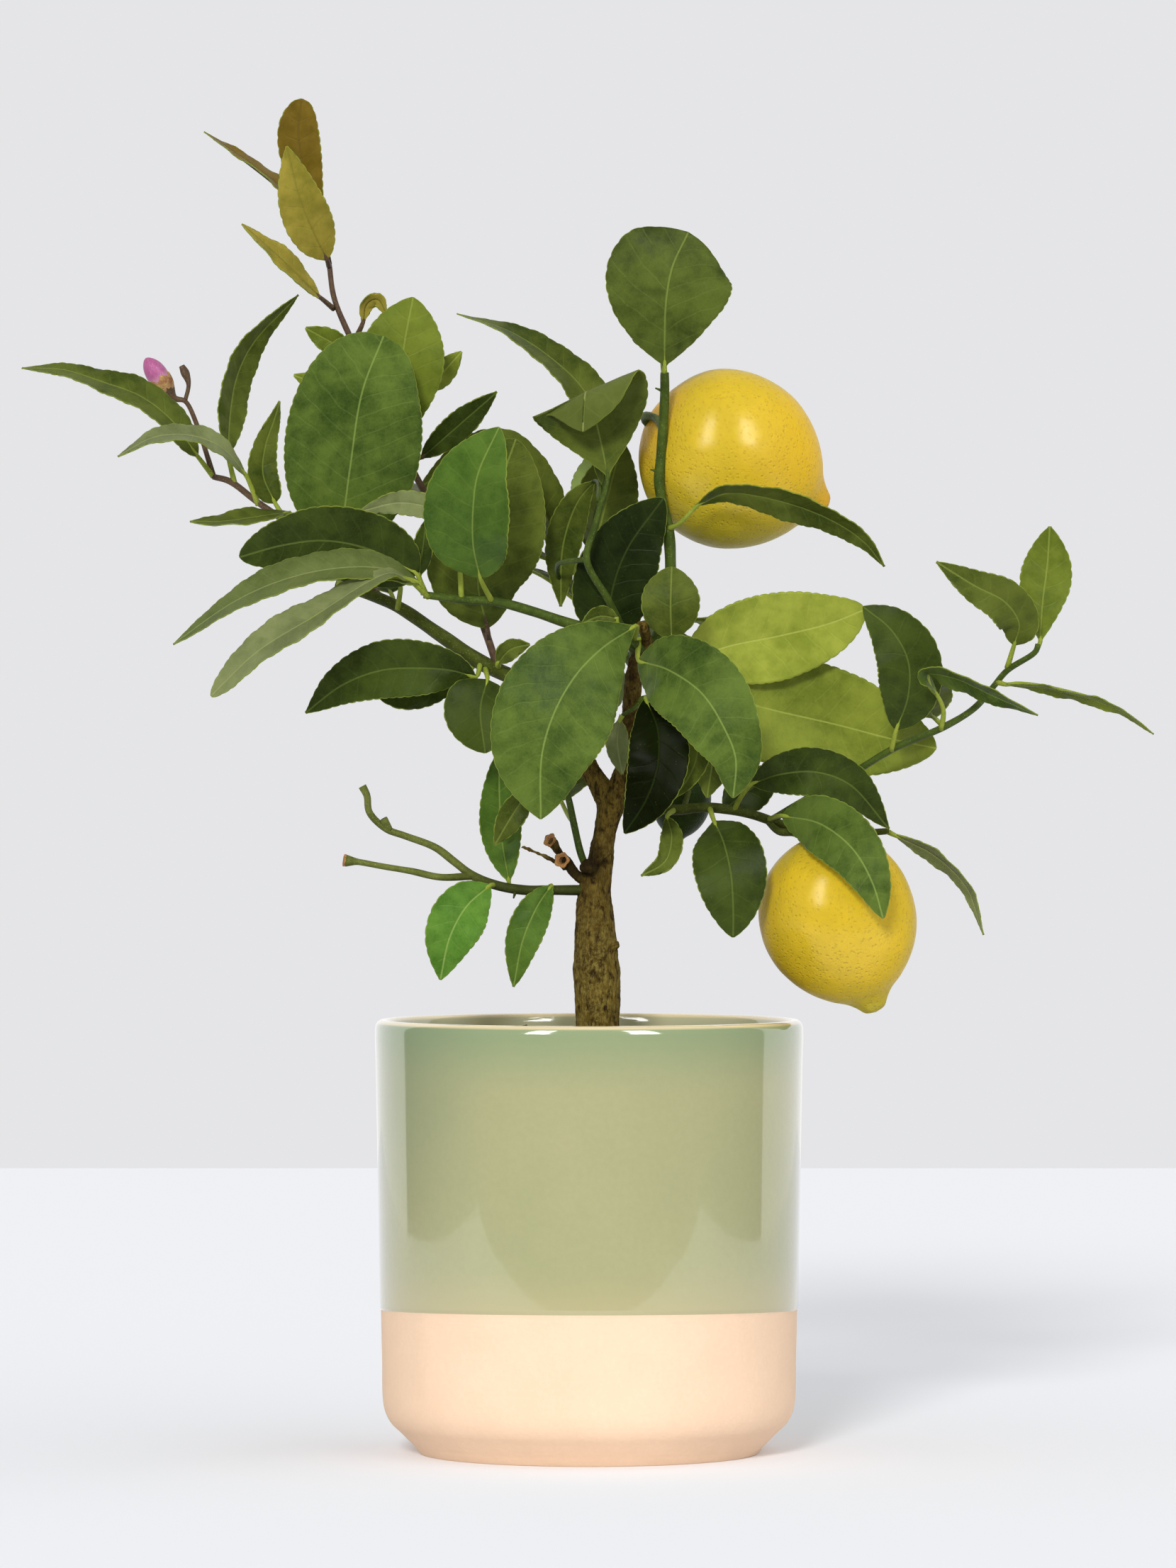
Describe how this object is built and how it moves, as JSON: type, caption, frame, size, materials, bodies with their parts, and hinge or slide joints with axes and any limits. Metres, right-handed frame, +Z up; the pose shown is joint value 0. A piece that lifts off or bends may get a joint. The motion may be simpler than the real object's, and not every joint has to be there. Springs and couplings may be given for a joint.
{
  "type": "potted lemon tree",
  "caption": "Small lemon tree with crenate leaves, ripe yellow fruit and a bud, growing in a round half-glazed clay pot filled with soil.",
  "frame": {"origin": "centre of the pot's flat underside, on the pot's axis", "axes": "+Z up along the pot's axis, -Y to the front as pictured, +X to the right"},
  "size_m": [0.4784, 0.1812, 0.5759],
  "materials": {
    "pot": "glossy sage-green glaze over the upper two thirds, matte pale clay below",
    "soil": "loose, dark potting soil of composted bark",
    "bark": "rough ridged bark",
    "leaf": "leathery leaf with a soft gloss",
    "young_leaf": "bronze-green young leaf with a soft gloss",
    "lemon_peel": "waxy dimpled peel",
    "unripe_peel": "waxy dimpled green peel",
    "petal": "smooth closed petals"
  },
  "bodies": {
    "root": {"pot": "pot", "soil": "soil", "trunk": "bark", "left_branch": "leaf", "top_shoot": "young_leaf", "left_shoot": "leaf", "front_shoot": "leaf", "centre_shoot": "leaf", "upright_shoot": "leaf", "fork_spray": "leaf", "right_branch": "leaf", "right_shoot": "leaf", "low_branch": "leaf", "green_twig": "leaf", "back_shoot": "leaf", "upper_lemon": "lemon_peel", "lower_lemon": "lemon_peel", "unripe_lemon": "unripe_peel", "flower_bud": "petal"}
  },
  "joints": []
}
